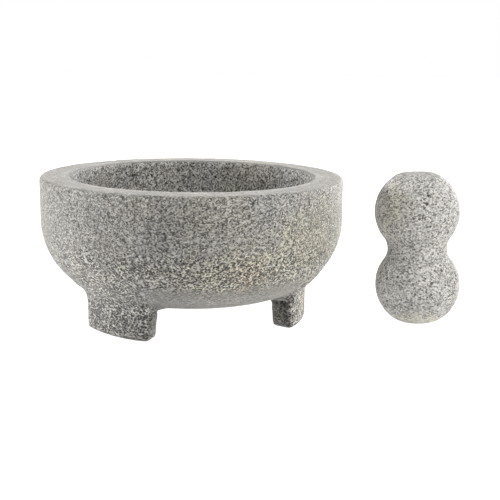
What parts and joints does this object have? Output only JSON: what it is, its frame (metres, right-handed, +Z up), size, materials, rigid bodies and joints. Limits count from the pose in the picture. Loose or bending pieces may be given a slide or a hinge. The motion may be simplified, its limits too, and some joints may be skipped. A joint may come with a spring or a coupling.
{
  "type": "molcajete",
  "caption": "Round stone grinding bowl on short carved legs, with a loose double-ended pestle standing beside it.",
  "frame": {"origin": "on the mortar's axis, in the plane of its feet", "axes": "+Z up along the mortar's axis; +X from the mortar towards the pestle; +Y to the back"},
  "size_m": [0.283, 0.2032, 0.1017],
  "materials": {
    "mortar_stone": "matte",
    "pestle_stone": "matte"
  },
  "bodies": {
    "mortar": {"mortar": "mortar_stone"},
    "pestle": {"pestle": "pestle_stone"}
  },
  "joints": [
    {"name": "pestle_lift", "type": "slide", "parent": "mortar", "child": "pestle", "axis": [0, 0, 1], "range_m": [0, 0.2]}
  ]
}
